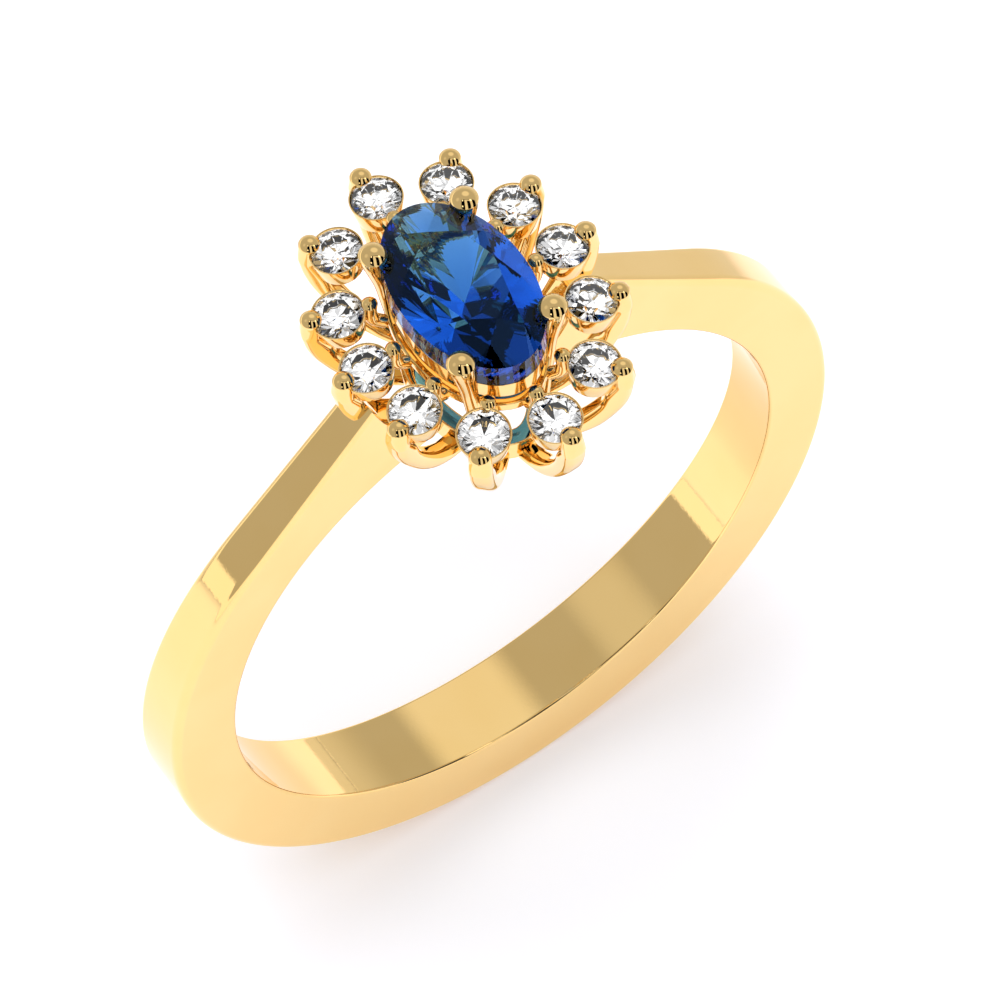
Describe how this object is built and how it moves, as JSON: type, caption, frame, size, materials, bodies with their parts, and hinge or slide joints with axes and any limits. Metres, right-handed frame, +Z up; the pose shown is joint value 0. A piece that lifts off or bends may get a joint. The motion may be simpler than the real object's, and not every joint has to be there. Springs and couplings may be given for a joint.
{
  "type": "engagement ring",
  "caption": "Finger ring with a tapering flat-sided band and an open clawed head holding an oval faceted stone inside a halo of small round stones.",
  "frame": {"origin": "on the floor under the band, midway across the bore and along the finger, with the ring standing upright", "axes": "+Z up from the band's lowest point through the bore's centre to the head, X across the ring, Y along the finger"},
  "size_m": [0.0202, 0.0096, 0.0239],
  "materials": {
    "gold": "polished yellow gold",
    "sapphire": "faceted and polished",
    "diamond": "faceted and polished"
  },
  "bodies": {
    "root": {"shank": "gold", "base_ring": "gold", "gallery_rail": "gold", "seat_rail": "gold", "centre_prong_1": "gold", "centre_prong_2": "gold", "centre_prong_3": "gold", "centre_prong_4": "gold", "centre_stone": "sapphire", "outer_claw_01": "gold", "inner_pin_01": "gold", "collet_01": "gold", "halo_stone_01": "diamond", "outer_claw_02": "gold", "inner_pin_02": "gold", "collet_02": "gold", "halo_stone_02": "diamond", "outer_claw_03": "gold", "inner_pin_03": "gold", "collet_03": "gold", "halo_stone_03": "diamond", "outer_claw_04": "gold", "inner_pin_04": "gold", "collet_04": "gold", "halo_stone_04": "diamond", "outer_claw_05": "gold", "inner_pin_05": "gold", "collet_05": "gold", "halo_stone_05": "diamond", "outer_claw_06": "gold", "inner_pin_06": "gold", "collet_06": "gold", "halo_stone_06": "diamond", "outer_claw_07": "gold", "inner_pin_07": "gold", "collet_07": "gold", "halo_stone_07": "diamond", "outer_claw_08": "gold", "inner_pin_08": "gold", "collet_08": "gold", "halo_stone_08": "diamond", "outer_claw_09": "gold", "inner_pin_09": "gold", "collet_09": "gold", "halo_stone_09": "diamond", "outer_claw_10": "gold", "inner_pin_10": "gold", "collet_10": "gold", "halo_stone_10": "diamond", "outer_claw_11": "gold", "inner_pin_11": "gold", "collet_11": "gold", "halo_stone_11": "diamond", "outer_claw_12": "gold", "inner_pin_12": "gold", "collet_12": "gold", "halo_stone_12": "diamond"}
  },
  "joints": []
}
